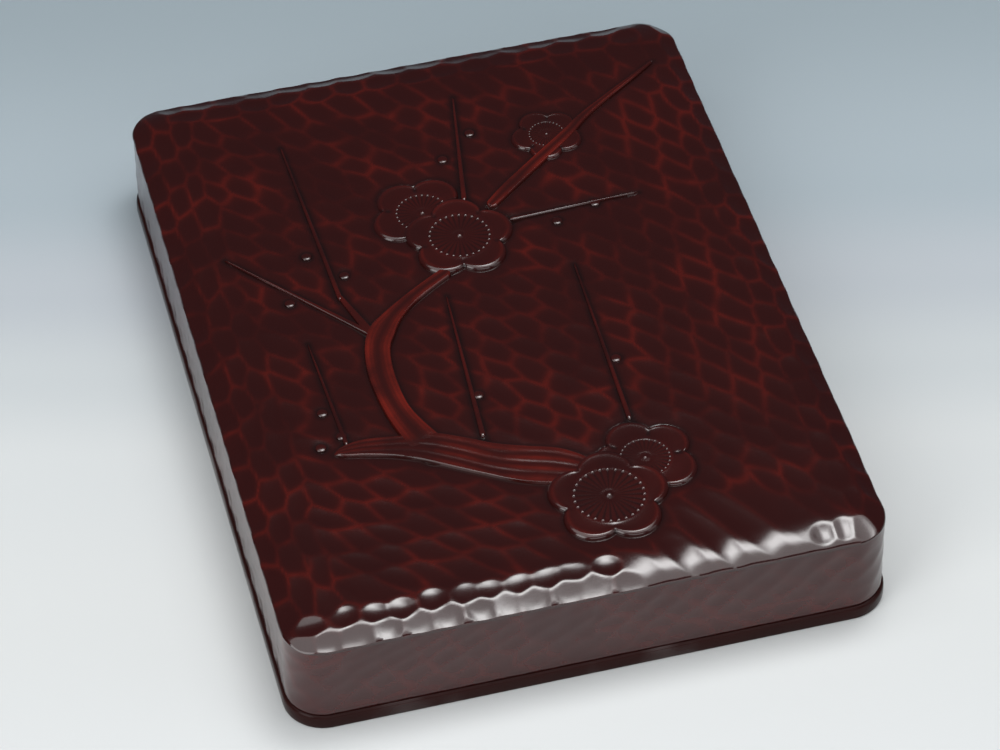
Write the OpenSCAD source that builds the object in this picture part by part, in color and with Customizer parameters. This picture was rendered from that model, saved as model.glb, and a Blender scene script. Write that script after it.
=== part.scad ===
// A carved and lacquered wooden writing box with an overlapping lid, and the writing set that it holds.
// X is across the short side, Y along the long side and Z up. The origin is at the middle of the underside.

/* [Lid] */
// Width of the lid over its walls, across X
lid_w = 200; // [192:1:230]
// Length of the lid over its walls, along Y
lid_l = 266; // [260:1:300]
// Thickness of the four lid walls
lid_wall = 6.5; // [5:0.5:8]
// Radius of the lid's outer corners, seen from above
lid_corner_r = 13; // [11:0.5:16]
// Height of the arris between wall and top, above the table
arris_z = 35.5; // [35:0.5:45]
// Rise of the rounded shoulder from the arris to the field
shoulder_rise = 3; // [2:0.5:5]
// Thickness of the top board where it meets the walls
board_edge = 4; // [3:0.5:4.5]
// Depth of the top board's tongue between the walls
lid_tongue = 1.5; // [1:0.5:2]
// Round on the lid's lower outer edge
foot_round = 0.9; // [0.5:0.1:1.5]

/* [Carving] */
// Height of the blossoms above the field
blossom_relief = 1.5; // [1:0.1:2]
// Height of the trunk and branch above the field
branch_relief = 1.2; // [0.8:0.1:1.5]
// Height of the straight shoots above the field
shoot_relief = 0.7; // [0.4:0.1:1]
// Radius of a bud
bud_r = 1.1; // [0.8:0.1:1.4]

/* [Base] */
// Thickness of the base board, whose edge shows below the lid
plinth_h = 5.2; // [4.5:0.1:6]
// How far the base board stands out past the lid
plinth_proud = 0.8; // [0.4:0.1:2]
// Round on the base board's upper outer edge
plinth_round = 1.2; // [0.6:0.1:1.6]
// Width of the foot ring under the base board
foot_ring_w = 8; // [5:0.5:9.5]
// Depth of the hollow inside the foot ring
foot_hollow = 0.8; // [0.5:0.1:1]
// Thickness of the four base walls
base_wall = 5; // [4:0.5:6]
// Depth of the groove that the base walls stand in
wall_groove = 1.5; // [1:0.25:2]
// Running gap between lid and base, on each side
lid_gap = 0.5; // [0.3:0.1:1]
// Free height between the base walls and the lid's ceiling
head_gap = 1.5; // [1:0.5:3]
// Radius of a bamboo peg
peg_r = 1.2; // [0.8:0.1:1.4]
// How far a peg reaches up into its wall
peg_reach = 7; // [5:0.5:9]

/* [Compartments] */
// Thickness of the partition
partition_t = 3; // [2:0.5:4]
// Height of the partition above the base board
partition_h = 17; // [12:0.5:18]
// Depth of the grooves that hold the partition's ends
partition_groove = 1.5; // [1:0.25:2]
// Clear width of the bay for the brush tray
tray_bay_w = 53; // [52:0.5:60]
// Height of the ledges under the brush tray
ledge_h = 5; // [4.8:0.1:6]
// Width of each ledge
ledge_w = 4; // [3:0.5:6]

/* [Inkstone] */
// Width of the inkstone
stone_w = 76; // [60:1:80]
// Length of the inkstone
stone_l = 136; // [120:1:138]
// Height of the inkstone
stone_h = 17; // [14:0.5:19]
// Width of the inkstone's rim
stone_rim = 5; // [3:0.5:7]
// Depth of the grinding face below the rim
grind_depth = 2.5; // [1.5:0.5:4]
// Depth of the ink well below the rim
well_depth = 9; // [7:0.5:11]
// Length of the ink well's floor
well_l = 16; // [12:1:22]
// Length of the slope from the grinding face to the well
slope_l = 24; // [15:1:30]
// Distance of the inkstone from the front of its board
stone_margin = 18; // [12:1:20]
// Thickness of the board that the inkstone sits in
stone_board_t = 6; // [4:0.5:8]

/* [Water dropper] */
// Width of the water dropper
dropper_w = 52; // [40:1:60]
// Depth of the water dropper, front to back
dropper_l = 40; // [30:1:44]
// Height of the water dropper
dropper_h = 18; // [14:0.5:20]
// Wall of the water dropper
dropper_wall = 1; // [0.8:0.1:1.5]
// Bore of the spout
spout_bore_r = 1; // [0.8:0.1:1.2]
// Radius of the air hole in the top
air_hole_r = 1.4; // [1:0.1:2]
// Distance between the inkstone and the water dropper
dropper_gap = 16; // [12:1:26]

/* [Brush tray] */
// Height of the brush tray
tray_h = 14; // [12:0.5:15]
// Thickness of the tray's floor
tray_floor_t = 2.5; // [2:0.5:3]
// Thickness of the tray's sides and ends
tray_side_t = 3; // [2.5:0.5:3]
// Thickness of a brush rest
rest_t = 5; // [4:0.5:8]

/* [Brushes] */
// Radius of the large brush's handle
large_handle_r = 3.8; // [3.4:0.1:4]
// Length of the large brush's handle
large_handle_l = 128; // [120:1:134]
// Length of the large brush's tuft
large_tuft_l = 30; // [24:1:32]
// Radius of the large brush's cap
large_cap_r = 5.6; // [5.2:0.1:5.8]
// Radius of the small brush's handle
small_handle_r = 3; // [2.6:0.1:3.4]
// Length of the small brush's handle
small_handle_l = 122; // [118:1:134]
// Length of the small brush's tuft
small_tuft_l = 24; // [20:1:28]
// Radius of the small brush's cap
small_cap_r = 4.6; // [4.4:0.1:4.8]
// How far a cap reaches over its handle
cap_overlap = 15; // [12:1:18]
// Thickness of a cap's closed end
cap_end_t = 3; // [2:0.5:4]

/* [Ink stick] */
// Width of the ink stick
ink_w = 15; // [12:0.5:16]
// Length of the ink stick
ink_l = 78; // [60:1:84]
// Thickness of the ink stick
ink_t = 9; // [7:0.5:10]

/* [Hidden] */
$fn = 48;

// Colours
lacquer_red = [0.29, 0.07, 0.05];
lacquer_dark = [0.16, 0.05, 0.04];
lacquer_black = [0.05, 0.045, 0.045];
bamboo = [0.74, 0.58, 0.34];
slate = [0.17, 0.18, 0.19];
copper = [0.55, 0.33, 0.22];

// Clearances of what lifts out or slides
seat_gap = 0.3;
slip_gap = 0.08;
peg_gap = 0.02;
over = 1; // a cutter's reach past the face that it cuts

// Heights
lid_foot_z = plinth_h;
lid_wall_top = arris_z - board_edge;
ceiling_z = lid_wall_top - lid_tongue;
field_z = arris_z + shoulder_rise;
base_wall_foot = plinth_h - wall_groove;
base_wall_top = ceiling_z - head_gap;
floor_z = plinth_h;

// Inside of the lid, outside and inside of the base
lid_in_w = lid_w - 2 * lid_wall;
lid_in_l = lid_l - 2 * lid_wall;
base_w = lid_in_w - 2 * lid_gap;
base_l = lid_in_l - 2 * lid_gap;
in_w = base_w - 2 * base_wall;
in_l = base_l - 2 * base_wall;
base_corner_r = 2;
finger_count = 3; // fingers in each corner joint

// Bays, from left to right: inkstone board, partition, brush tray
tray_bay_x1 = in_w / 2;
tray_bay_x0 = tray_bay_x1 - tray_bay_w;
partition_x0 = tray_bay_x0 - partition_t;
stone_bay_x0 = -in_w / 2;
stone_bay_w = partition_x0 - stone_bay_x0;
stone_bay_x = stone_bay_x0 + stone_bay_w / 2;
stone_board_w = stone_bay_w - 2 * seat_gap;
stone_board_l = in_l - 2 * seat_gap;
stone_y = -stone_board_l / 2 + stone_margin + stone_l / 2;
dropper_y = stone_y + stone_l / 2 + dropper_gap + dropper_l / 2;
lip_w = 2;
lip_h = 0.8;
stone_corner_r = 5;
dropper_corner_r = 4;
dish_corner_r = 9;

// Brush tray
tray_w = tray_bay_w - 2 * seat_gap;
tray_l = in_l - 2 * seat_gap;
tray_x = tray_bay_x0 + tray_bay_w / 2;
tray_z = floor_z + ledge_h;
tray_floor_z = tray_z + tray_floor_t;
tray_in_x0 = tray_x - tray_w / 2 + tray_side_t;
tray_in_w = tray_w - 2 * tray_side_t;
tray_in_l = tray_l - 2 * tray_side_t;
tray_in_y1 = tray_in_l / 2;

// Lanes in the tray: large brush, small brush, ink stick
lane_gap = 2.3;
large_x = tray_in_x0 + lane_gap + large_cap_r;
small_x = large_x + large_cap_r + lane_gap + small_cap_r;
ink_x = small_x + small_cap_r + lane_gap + ink_w / 2;
ink_margin = 12; // from the tray's front end to the ink stick
tail_margin = 8; // from the tray's back end to a brush's tail
tail_l = 9;
brush_tail_y = tray_in_y1 - tail_margin - tail_l;
brush_z = tray_floor_z + large_cap_r + seat_gap;
rest_z = brush_z + 1; // top of a brush rest
back_rest_y = 14; // from a handle's back end to the rear rest's middle
front_rest_y = 90; // from a handle's back end to the front rest's middle
tuft_root = 6; // length of tuft inside the handle
tuft_free = 1; // free length between tuft and cap

// The carving was laid out on a field of this size, and follows the lid's own field
drawn_field = [174, 240];
carve_x = (lid_w - 2 * lid_corner_r) / drawn_field[0];
carve_y = (lid_l - 2 * lid_corner_r) / drawn_field[1];
carve_s = min(carve_x, carve_y);
carve_root = 1; // depth of the carving's solids below the field

// Blossoms: x, y, radius over the petals, turn of the first petal
blossoms = [[-1.5, 37, 19.5, 82], [-11, 52, 18.5, 125], [15, -94.5, 20.5, 82], [31, -81, 18, 105],
            [41, 80, 13, 110]];
// Which blossoms lie behind their neighbour, and so stand lower
behind = [false, true, false, true, true];
petal_count = 5;

// Trunk, branch and stub as outlines, clockwise from the stub's lower tip
trunk = [[-67, -55], [-70, -48], [-62, -47], [-48, -49], [-48, -38], [-48.5, -28], [-47, -14],
         [-43, 1], [-38, 2], [-30, 11], [-16, 21], [-8, 22], [-12, 16], [-22, 9], [-31, 0],
         [-36, -12], [-38.5, -26], [-38, -40], [-35, -50], [-18, -60], [0, -67], [12, -71],
         [8, -78], [0, -86], [-12, -81], [-22, -76], [-32, -68], [-42, -60], [-54, -55.5]];
branch = [[14, 50], [12, 53], [28, 65], [46, 79], [64, 93], [84, 107], [66, 91], [52, 80], [34, 64]];
// Straight shoots: root, tip, width at the root, width at the tip
shoots = [[[-42, 3], [-49, 22], 4, 2.2], [[-48, 18], [-51, 92], 2.6, 1.2], [[-43, 2], [-80, 46], 3, 1.2],
          [[-61, -51], [-63, -2], 2.4, 1], [[-17.5, -59], [-14, 8], 3, 1], [[31, -64], [33, 12], 2.6, 1],
          [[5, 57], [13, 108], 2.8, 1], [[18, 41], [62, 42], 2.4, 1]];
buds = [[-55, 39], [-44, 29], [-65, 20.5], [-66, -33], [-13.5, -38.5], [35, -33], [33, 35.5], [2, 77]];

// ---- Shapes shared by several pieces ----

// A rounded slab whose edge follows a profile of [distance outward, z]; 0 is where the corner arcs start
module edge_slab(w, l, r, profile) {
    z_low = min([for (p = profile) p[1]]);
    z_high = max([for (p = profile) p[1]]);
    translate([r - w / 2, r - l / 2, z_low]) cube([w - 2 * r, l - 2 * r, z_high - z_low]);
    for (k = [0:3]) rotate(90 * k) {
        across = k % 2 == 0 ? w : l;
        along = k % 2 == 0 ? l : w;
        translate([across / 2 - r, along / 2 - r, 0]) {
            rotate([90, 0, 0]) linear_extrude(along - 2 * r) polygon(profile);
            rotate_extrude(angle = 90, $fn = 96) polygon(profile);
        }
    }
}

module rounded_prism(w, l, r, z0, z1) {
    translate([0, 0, z0]) linear_extrude(z1 - z0) union() {
        square([w - 2 * r, l], center = true);
        square([w, l - 2 * r], center = true);
        for (x = [r - w / 2, w / 2 - r], y = [r - l / 2, l / 2 - r]) translate([x, y]) circle(r);
    }
}

module centred_box(w, l, z0, z1) {
    translate([-w / 2, -l / 2, z0]) cube([w, l, z1 - z0]);
}

// One of four walls, cut from the whole ring so that its corner fingers mesh with the next wall's.
// side 0 is right, 1 back, 2 left and 3 front. The children are the ring's solid outside shape.
module finger_wall(side, w, l, t, z0, z1) {
    across = side % 2 == 0 ? w : l;
    along = side % 2 == 0 ? l : w;
    band = (z1 - z0) / finger_count;
    intersection() {
        difference() {
            children();
            centred_box(w - 2 * t, l - 2 * t, z0 - over, z1 + over);
        }
        rotate(90 * side) {
            translate([across / 2 - t, t - along / 2, z0]) cube([t, along - 2 * t, z1 - z0]);
            for (i = [0:finger_count - 1]) if ((i + side) % 2 == 0)
                translate([across / 2 - t, -along / 2, z0 + i * band]) cube([t, along, band]);
        }
    }
}

// A solid turned about a line along Y, from y on towards -Y; the profile is [radius, distance]
module turned(x, y, z, profile) {
    translate([x, y, z]) rotate([90, 0, 0]) rotate_extrude() polygon(profile);
}

// ---- Lid ----

shoulder_steps = 7;
shoulder_r = (pow(lid_corner_r, 2) + pow(shoulder_rise, 2)) / (2 * shoulder_rise);

function shoulder_z(d) = field_z - shoulder_r + sqrt(pow(shoulder_r, 2) - pow(d, 2));

// Five round petals on a disc, with a raised ring of stamens and a bead on a blossom that lies in front
module blossom(r, turn, h, front) {
    stamen_h = 0.3;
    bead_h = 0.3;
    linear_extrude(h) union() {
        for (i = [0:petal_count - 1]) rotate(turn + i * 360 / petal_count)
            translate([0.53 * r, 0]) circle(r = 0.47 * r);
        circle(r = 0.55 * r);
    }
    if (front) {
        cylinder(r = 0.5 * r, h = h + stamen_h);
        cylinder(r = bud_r, h = h + stamen_h + bead_h);
    }
}

module shoot(from, to, w0, w1, h) {
    d = to - from;
    n = [-d[1], d[0]] / norm(d);
    linear_extrude(h) polygon([from + n * w0 / 2, from - n * w0 / 2, to - n * w1 / 2, to + n * w1 / 2]);
}

// The carving stands on the field, and its roots go down into the board
module carving() {
    drop = 0.4; // of a blossom behind another
    translate([0, 0, field_z - carve_root]) {
        for (i = [0:len(blossoms) - 1]) translate([blossoms[i][0] * carve_s, blossoms[i][1] * carve_s, 0])
            blossom(blossoms[i][2] * carve_s, blossoms[i][3],
                carve_root + blossom_relief - (behind[i] ? drop : 0), !behind[i]);
        linear_extrude(carve_root + branch_relief) polygon(trunk * carve_s);
        linear_extrude(carve_root + branch_relief) polygon(branch * carve_s);
        for (s = shoots) shoot(s[0] * carve_s, s[1] * carve_s, s[2], s[3], carve_root + shoot_relief);
        for (b = buds) translate([b[0] * carve_s, b[1] * carve_s, 0])
            cylinder(r = bud_r, h = carve_root + bud_r, $fn = 24);
    }
}

module lid_top_board() {
    color(lacquer_red) {
        edge_slab(lid_w, lid_l, lid_corner_r,
            concat([[0, lid_wall_top], [lid_corner_r, lid_wall_top]],
                [for (i = [shoulder_steps:-1:0]) let (d = lid_corner_r * i / shoulder_steps) [d, shoulder_z(d)]]));
        centred_box(lid_in_w, lid_in_l, ceiling_z, lid_wall_top + over);
        carving();
    }
}

module lid_wall_side(side) {
    color(lacquer_red) finger_wall(side, lid_w, lid_l, lid_wall, lid_foot_z, lid_wall_top)
        edge_slab(lid_w, lid_l, lid_corner_r,
            [[0, lid_foot_z], [lid_corner_r - foot_round, lid_foot_z],
             [lid_corner_r - 0.3 * foot_round, lid_foot_z + 0.3 * foot_round],
             [lid_corner_r, lid_foot_z + foot_round], [lid_corner_r, lid_wall_top], [0, lid_wall_top]]);
}

// ---- Base ----

short_peg_count = 3; // pegs along a short wall
long_peg_count = 4; // pegs along a long wall

// Places of the pegs, on the middle line of each wall
function peg_spots() = concat(
    [for (s = [-1, 1], i = [0:short_peg_count - 1])
        [(i - (short_peg_count - 1) / 2) * base_w / (short_peg_count + 0.5), s * (base_l - base_wall) / 2]],
    [for (s = [-1, 1], i = [0:long_peg_count - 1])
        [s * (base_w - base_wall) / 2, (i - (long_peg_count - 1) / 2) * base_l / (long_peg_count + 0.5)]]);

module peg_holes() {
    for (p = peg_spots()) translate([p[0], p[1], -over])
        cylinder(r = peg_r + peg_gap, h = over + base_wall_foot + peg_reach, $fn = 32);
}

module base_board() {
    w = lid_w + 2 * plinth_proud;
    l = lid_l + 2 * plinth_proud;
    r = lid_corner_r + plinth_proud;
    low = 0.6 * plinth_round;
    color(lacquer_dark) difference() {
        edge_slab(w, l, r,
            [[0, 0], [r - low, 0], [r, low], [r, plinth_h - plinth_round],
             [r - 0.3 * plinth_round, plinth_h - 0.3 * plinth_round], [r - plinth_round, plinth_h], [0, plinth_h]]);
        rounded_prism(w - 2 * foot_ring_w, l - 2 * foot_ring_w, r - foot_ring_w, -over, foot_hollow);
        difference() {
            rounded_prism(base_w, base_l, base_corner_r, base_wall_foot, plinth_h + over);
            centred_box(in_w, in_l, base_wall_foot - over, plinth_h + 2 * over);
        }
        peg_holes();
    }
}

module base_wall_side(side) {
    color(lacquer_black) difference() {
        finger_wall(side, base_w, base_l, base_wall, base_wall_foot, base_wall_top)
            rounded_prism(base_w, base_l, base_corner_r, base_wall_foot, base_wall_top);
        peg_holes();
        if (side % 2 == 1) partition_slot();
    }
}

module base_pegs() {
    color(bamboo) for (p = peg_spots()) translate([p[0], p[1], foot_hollow])
        cylinder(r = peg_r, h = base_wall_foot - foot_hollow + peg_reach, $fn = 32);
}

// The partition's own body, and the same shape as the cut for it in the front and back walls
module partition_slot() {
    translate([partition_x0, -in_l / 2 - partition_groove, floor_z])
        cube([partition_t, in_l + 2 * partition_groove, partition_h]);
}

module partition() {
    color(lacquer_black) partition_slot();
}

module ledge(x) {
    color(lacquer_black) translate([x, -in_l / 2, floor_z]) cube([ledge_w, in_l, ledge_h]);
}

// ---- Inkstone and its board ----

// An opening in the board with the raised lip that frames it
module framed_opening(x, y, w, l, r, lip) {
    grow = seat_gap + (lip ? lip_w : 0);
    z1 = floor_z + stone_board_t + (lip ? lip_h : over);
    translate([x, y, 0])
        rounded_prism(w + 2 * grow, l + 2 * grow, r + grow, lip ? floor_z + over : floor_z - over, z1);
}

module board_openings(lip) {
    framed_opening(stone_bay_x, stone_y, stone_w, stone_l, stone_corner_r, lip);
    framed_opening(stone_bay_x, dropper_y, dropper_w, dropper_l, dropper_corner_r, lip);
}

module inkstone_board() {
    color(lacquer_black) difference() {
        union() {
            translate([stone_bay_x, 0, 0])
                centred_box(stone_board_w, stone_board_l, floor_z, floor_z + stone_board_t);
            board_openings(true);
        }
        board_openings(false);
    }
}

module inkstone() {
    top = floor_z + stone_h;
    dish_w = stone_w - 2 * stone_rim;
    dish_l = stone_l - 2 * stone_rim;
    color(slate) translate([stone_bay_x, stone_y, 0]) difference() {
        rounded_prism(stone_w, stone_l, stone_corner_r, floor_z, top);
        intersection() {
            rounded_prism(dish_w, dish_l, dish_corner_r, floor_z, top + over);
            translate([-stone_w / 2, 0, 0]) rotate([90, 0, 90]) linear_extrude(stone_w)
                polygon([[-dish_l, top - grind_depth], [dish_l / 2 - well_l - slope_l, top - grind_depth],
                         [dish_l / 2 - well_l, top - well_depth], [dish_l, top - well_depth],
                         [dish_l, top + 2 * over], [-dish_l, top + 2 * over]]);
        }
    }
}

// ---- Water dropper ----

spout_inset = 8; // from the dropper's corner to its spout, each way
spout_rise = 1.6;
spout_wall = 0.8;

module dropper_shell() {
    color(copper) translate([stone_bay_x, dropper_y, 0]) difference() {
        rounded_prism(dropper_w, dropper_l, dropper_corner_r, floor_z, floor_z + dropper_h - dropper_wall);
        rounded_prism(dropper_w - 2 * dropper_wall, dropper_l - 2 * dropper_wall,
            dropper_corner_r - dropper_wall, floor_z + dropper_wall, floor_z + dropper_h);
    }
}

module at_spout() {
    translate([stone_bay_x - dropper_w / 2 + spout_inset, dropper_y - dropper_l / 2 + spout_inset,
               floor_z + dropper_h - dropper_wall]) children();
}

module dropper_top() {
    color(copper) difference() {
        translate([stone_bay_x, dropper_y, 0])
            rounded_prism(dropper_w, dropper_l, dropper_corner_r, floor_z + dropper_h - dropper_wall,
                floor_z + dropper_h);
        translate([stone_bay_x, dropper_y, floor_z + dropper_h / 2]) cylinder(r = air_hole_r, h = dropper_h);
        at_spout() translate([0, 0, -over])
            cylinder(r = spout_bore_r + spout_wall, h = dropper_wall + 2 * over);
    }
}

module dropper_spout() {
    color(copper) at_spout() difference() {
        cylinder(r = spout_bore_r + spout_wall, h = dropper_wall + spout_rise);
        translate([0, 0, -over]) cylinder(r = spout_bore_r, h = dropper_wall + spout_rise + 2 * over);
    }
}

// ---- Brush tray ----

module tray_floor() {
    color(lacquer_black) translate([tray_x, 0, 0]) centred_box(tray_w, tray_l, tray_z, tray_floor_z);
}

module tray_side(right) {
    color(lacquer_black)
        translate([right ? tray_in_x0 + tray_in_w : tray_in_x0 - tray_side_t, -tray_l / 2, tray_floor_z])
            cube([tray_side_t, tray_l, tray_h - tray_floor_t]);
}

module tray_end(back) {
    color(lacquer_black)
        translate([tray_in_x0, back ? tray_in_y1 : -tray_in_y1 - tray_side_t, tray_floor_z])
            cube([tray_in_w, tray_side_t, tray_h - tray_floor_t]);
}

// A notch that a handle drops into from above
module handle_notch(x, r) {
    translate([x, rest_t, brush_z]) rotate([90, 0, 0]) cylinder(r = r + seat_gap, h = 2 * rest_t);
    translate([x - r - seat_gap, -rest_t, brush_z]) cube([2 * (r + seat_gap), 2 * rest_t, rest_z]);
}

module brush_rest(y) {
    rest_w = small_x + small_cap_r + lane_gap / 2 - tray_in_x0;
    color(lacquer_black) translate([0, brush_tail_y - y, 0]) difference() {
        translate([tray_in_x0, -rest_t / 2, tray_floor_z]) cube([rest_w, rest_t, rest_z - tray_floor_z]);
        handle_notch(large_x, large_handle_r);
        handle_notch(small_x, small_handle_r);
    }
}

// ---- Brushes ----

// Bamboo handle with two nodes, and a socket for the tuft in its front end
module brush_handle(x, r, l) {
    swell = 0.15;
    knots = [38, 76];
    color(bamboo) turned(x, brush_tail_y, brush_z,
        concat([[0, 0], [r - 0.4, 0], [r, 0.4]],
            [for (k = knots, s = [[-2, 0], [0, swell], [2, 0]]) [r + s[1], k + s[0]]],
            [[r, l], [r - 0.8, l], [r - 0.8, l - tuft_root], [0, l - tuft_root]]));
}

module brush_tuft(x, r, l, tuft_l) {
    root_r = r - 0.8;
    color("white") turned(x, brush_tail_y, brush_z,
        [[0, l - tuft_root], [root_r, l - tuft_root], [root_r, l], [root_r + 0.3, l + 0.25 * tuft_l],
         [root_r + 0.1, l + 0.45 * tuft_l], [0.72 * root_r, l + 0.65 * tuft_l], [0.35 * root_r, l + 0.85 * tuft_l],
         [0.1, l + tuft_l], [0, l + tuft_l]]);
}

module brush_tail(x, r) {
    color(lacquer_black) turned(x, brush_tail_y, brush_z,
        [[0, 0], [0.97 * r, 0], [1.08 * r, -0.17 * tail_l], [0.84 * r, -0.45 * tail_l], [0.45 * r, -0.72 * tail_l],
         [0.3 * r, -tail_l], [0, -tail_l]]);
}

// The cap's mouth is cap_overlap behind the handle's end, and its closed end stands clear of the tuft
module brush_cap(x, r, l, tuft_l, cap_r) {
    mouth = l - cap_overlap;
    inner = l + tuft_l + tuft_free;
    outer = inner + cap_end_t;
    bore = r + slip_gap;
    color(bamboo) turned(x, brush_tail_y, brush_z,
        [[bore, mouth], [cap_r - 0.5, mouth], [cap_r, mouth + 0.5], [cap_r, outer - 1.2], [cap_r - 1.2, outer],
         [0, outer], [0, inner], [bore, inner]]);
}

// ---- Ink stick ----

module ink_stick() {
    y0 = -tray_in_y1 + ink_margin;
    soft = 1;
    color(lacquer_black) translate([ink_x, y0 + ink_l, tray_floor_z + ink_t / 2]) rotate([90, 0, 0])
        rounded_prism(ink_w, ink_t, soft, 0, ink_l);
}

lid_top_board();
lid_wall_side(3);  // lid_front_wall
lid_wall_side(1);  // lid_back_wall
lid_wall_side(2);  // lid_left_wall
lid_wall_side(0);  // lid_right_wall
base_board();
base_wall_side(3);  // base_front_wall
base_wall_side(1);  // base_back_wall
base_wall_side(2);  // base_left_wall
base_wall_side(0);  // base_right_wall
base_pegs();
partition();
ledge(tray_bay_x0);  // left_ledge
ledge(tray_bay_x1 - ledge_w);  // right_ledge
inkstone_board();
inkstone();
dropper_shell();
dropper_top();
dropper_spout();
tray_floor();
tray_side(false);  // tray_left_side
tray_side(true);  // tray_right_side
tray_end(false);  // tray_front_end
tray_end(true);  // tray_back_end
brush_rest(front_rest_y);  // tray_front_rest
brush_rest(back_rest_y);  // tray_back_rest
brush_handle(large_x, large_handle_r, large_handle_l);  // large_brush_handle
brush_tuft(large_x, large_handle_r, large_handle_l, large_tuft_l);  // large_brush_tuft
brush_tail(large_x, large_handle_r);  // large_brush_tail
brush_cap(large_x, large_handle_r, large_handle_l, large_tuft_l, large_cap_r);  // large_brush_cap
brush_handle(small_x, small_handle_r, small_handle_l);  // small_brush_handle
brush_tuft(small_x, small_handle_r, small_handle_l, small_tuft_l);  // small_brush_tuft
brush_tail(small_x, small_handle_r);  // small_brush_tail
brush_cap(small_x, small_handle_r, small_handle_l, small_tuft_l, small_cap_r);  // small_brush_cap
ink_stick();
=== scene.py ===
import math
import random

import bmesh
import bpy
import numpy as np
from mathutils import Matrix, Vector


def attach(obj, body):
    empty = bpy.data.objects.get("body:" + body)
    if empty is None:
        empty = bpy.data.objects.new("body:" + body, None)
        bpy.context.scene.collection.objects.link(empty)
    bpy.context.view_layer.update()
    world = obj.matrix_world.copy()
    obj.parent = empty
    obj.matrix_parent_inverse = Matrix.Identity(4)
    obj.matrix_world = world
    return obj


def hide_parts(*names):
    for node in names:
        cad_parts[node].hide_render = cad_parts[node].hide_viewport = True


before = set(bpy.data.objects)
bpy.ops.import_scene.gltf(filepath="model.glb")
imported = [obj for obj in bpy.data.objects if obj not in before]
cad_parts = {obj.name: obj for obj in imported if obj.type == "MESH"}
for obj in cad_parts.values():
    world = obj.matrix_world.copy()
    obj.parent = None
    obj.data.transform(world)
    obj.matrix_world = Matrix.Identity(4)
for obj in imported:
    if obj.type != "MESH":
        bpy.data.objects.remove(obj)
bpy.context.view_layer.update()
mm = 0.001  # the tables below are in millimetres
print("frame loaded")


# Camera, floor and lights

view = {
    "place": (-0.24032, -0.98933, 1.02905),
    "right": (0.96745895, -0.25261474, -0.01445623),
    "up": (0.18891473, 0.68313228, 0.70543711),
    "back": (-0.1683283, -0.68521244, 0.70862507),
    "lens": 151.335,
    "sensor": 36.0,
    "clip": (0.01, 50.0),
}

studio = {
    "floorHalf": 6.0,
    "floorRoughness": 0.9,
    "floorShine": 0.1,
    # Painted light falloff: the floor's colour runs from light at the front to darker blue-grey at the back
    "paintedFalloffWay": (0.2385, 0.971),
    "paintedFalloffFrom": -0.20,
    "paintedFalloffTo": 0.22,
    "floorPaintedFalloff": [(0.0, (0.64, 0.66, 0.665)), (0.24, (0.61, 0.63, 0.63)), (0.40, (0.585, 0.61, 0.615)),
                   (0.50, (0.505, 0.54, 0.555)), (0.60, (0.43, 0.467, 0.50)), (0.72, (0.355, 0.413, 0.45)),
                   (1.0, (0.28, 0.335, 0.367))],
    "world": (0.05, 0.055, 0.065),
    # The three lamps at the back, one above the other, give the highlights in the hollows soft edges
    "lamps": {
        "backTopWide": {"place": (0.28, 0.19, 1.455), "aim": (0.28, 0.19, 0.0),
                        "size": (0.76, 0.62), "power": 4.7},
        "backTop": {"place": (0.28, 0.19, 1.45), "aim": (0.28, 0.19, 0.0),
                    "size": (0.56, 0.44), "power": 2.8},
        "backTopCore": {"place": (0.28, 0.19, 1.445), "aim": (0.28, 0.19, 0.0),
                        "size": (0.38, 0.28), "power": 1.6},
        "overhead": {"place": (-0.1, -0.13, 1.46), "aim": (-0.1, -0.13, 0.0),
                     "size": (2.4, 1.26), "power": 17.5},
        "frontFill": {"place": (0.0, -1.6, 0.9), "aim": (0.0, 0.0, 0.0),
                      "size": (1.6, 0.8), "power": 6.0},
        "leftSide": {"place": (-1.4, -0.9, 0.9), "aim": (0.0, 0.0, 0.0),
                     "size": (1.0, 1.2), "power": 15.0},
        "rightSide": {"place": (1.4, -0.9, 0.9), "aim": (0.0, 0.0, 0.0),
                      "size": (1.0, 1.2), "power": 3.0},
    },
}


def placeCamera():
    data = bpy.data.cameras.new("camera")
    data.sensor_width = view["sensor"]
    data.lens = view["lens"]
    data.clip_start, data.clip_end = view["clip"]
    camera = bpy.data.objects.new("camera", data)
    bpy.context.scene.collection.objects.link(camera)
    turn = Matrix((view["right"], view["up"], view["back"])).transposed().to_4x4()
    camera.matrix_world = Matrix.Translation(view["place"]) @ turn
    bpy.context.scene.camera = camera


def blendColours(nodes, links, factor, first, second, target):
    mix = nodes.new("ShaderNodeMix")
    mix.data_type = "RGBA"
    mix.inputs["A"].default_value = (*first, 1)
    mix.inputs["B"].default_value = (*second, 1)
    links.new(factor, mix.inputs["Factor"])
    links.new(mix.outputs["Result"], target)
    return mix


def spreadRange(nodes, links, value, low, high, toLow, toHigh):
    spread = nodes.new("ShaderNodeMapRange")
    spread.inputs["From Min"].default_value = low
    spread.inputs["From Max"].default_value = high
    spread.inputs["To Min"].default_value = toLow
    spread.inputs["To Max"].default_value = toHigh
    links.new(value, spread.inputs["Value"])
    return spread.outputs["Result"]


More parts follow.
